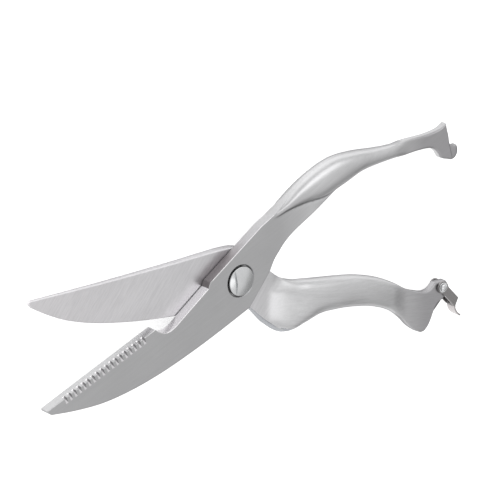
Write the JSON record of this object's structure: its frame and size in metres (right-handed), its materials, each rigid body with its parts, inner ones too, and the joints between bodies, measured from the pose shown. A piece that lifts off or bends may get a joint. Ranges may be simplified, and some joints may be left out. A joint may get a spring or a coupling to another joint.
{
  "type": "poultry shears",
  "caption": "Spring-opened poultry shears with a serrated blade, a bone notch, a slotted pivot screw, sculpted steel handles and a swinging clip that locks the handle ends shut",
  "frame": {"origin": "the middle of the nut's flat rear face, on the pivot axis", "axes": "+Z runs along the pivot axis from the plain rear half to the serrated front half; +X runs from the blades to the handles; +Y is on the side of the front handle"},
  "size_m": [0.2396, 0.1, 0.0143],
  "materials": {
    "front_steel": "satin-ground stainless steel, brushed along the blade",
    "rear_steel": "satin-ground stainless steel, blade ground across its length",
    "screw_steel": "polished stainless steel",
    "nut_steel": "turned stainless steel",
    "spring_steel": "drawn stainless spring wire and sheet",
    "clip_steel": "bent stainless strip, lightly brushed",
    "rivet_steel": "polished stainless steel"
  },
  "bodies": {
    "rear": {"rear_half": "rear_steel", "pivot_screw": "screw_steel", "pivot_nut": "nut_steel", "torsion_spring": "spring_steel", "stop_pin": "nut_steel", "clip_rivet": "rivet_steel", "clip_washer": "rivet_steel"},
    "front": {"front_half": "front_steel", "spring_washer": "spring_steel"},
    "clip": {"lock_clip": "clip_steel"}
  },
  "joints": [
    {"name": "blade_pivot", "type": "hinge", "parent": "rear", "child": "front", "pos_m": [0, 0, 0.0068], "axis": [0, 0, 1], "range_deg": [-26.5, 12], "stiffness_Nm_per_rad": 1.2, "deforming": ["torsion_spring"]},
    {"name": "clip_pivot", "type": "hinge", "parent": "rear", "child": "clip", "pos_m": [0.11645, -0.04293, 0.0068], "axis": [0, 0, 1], "range_deg": [-30, 80]}
  ]
}
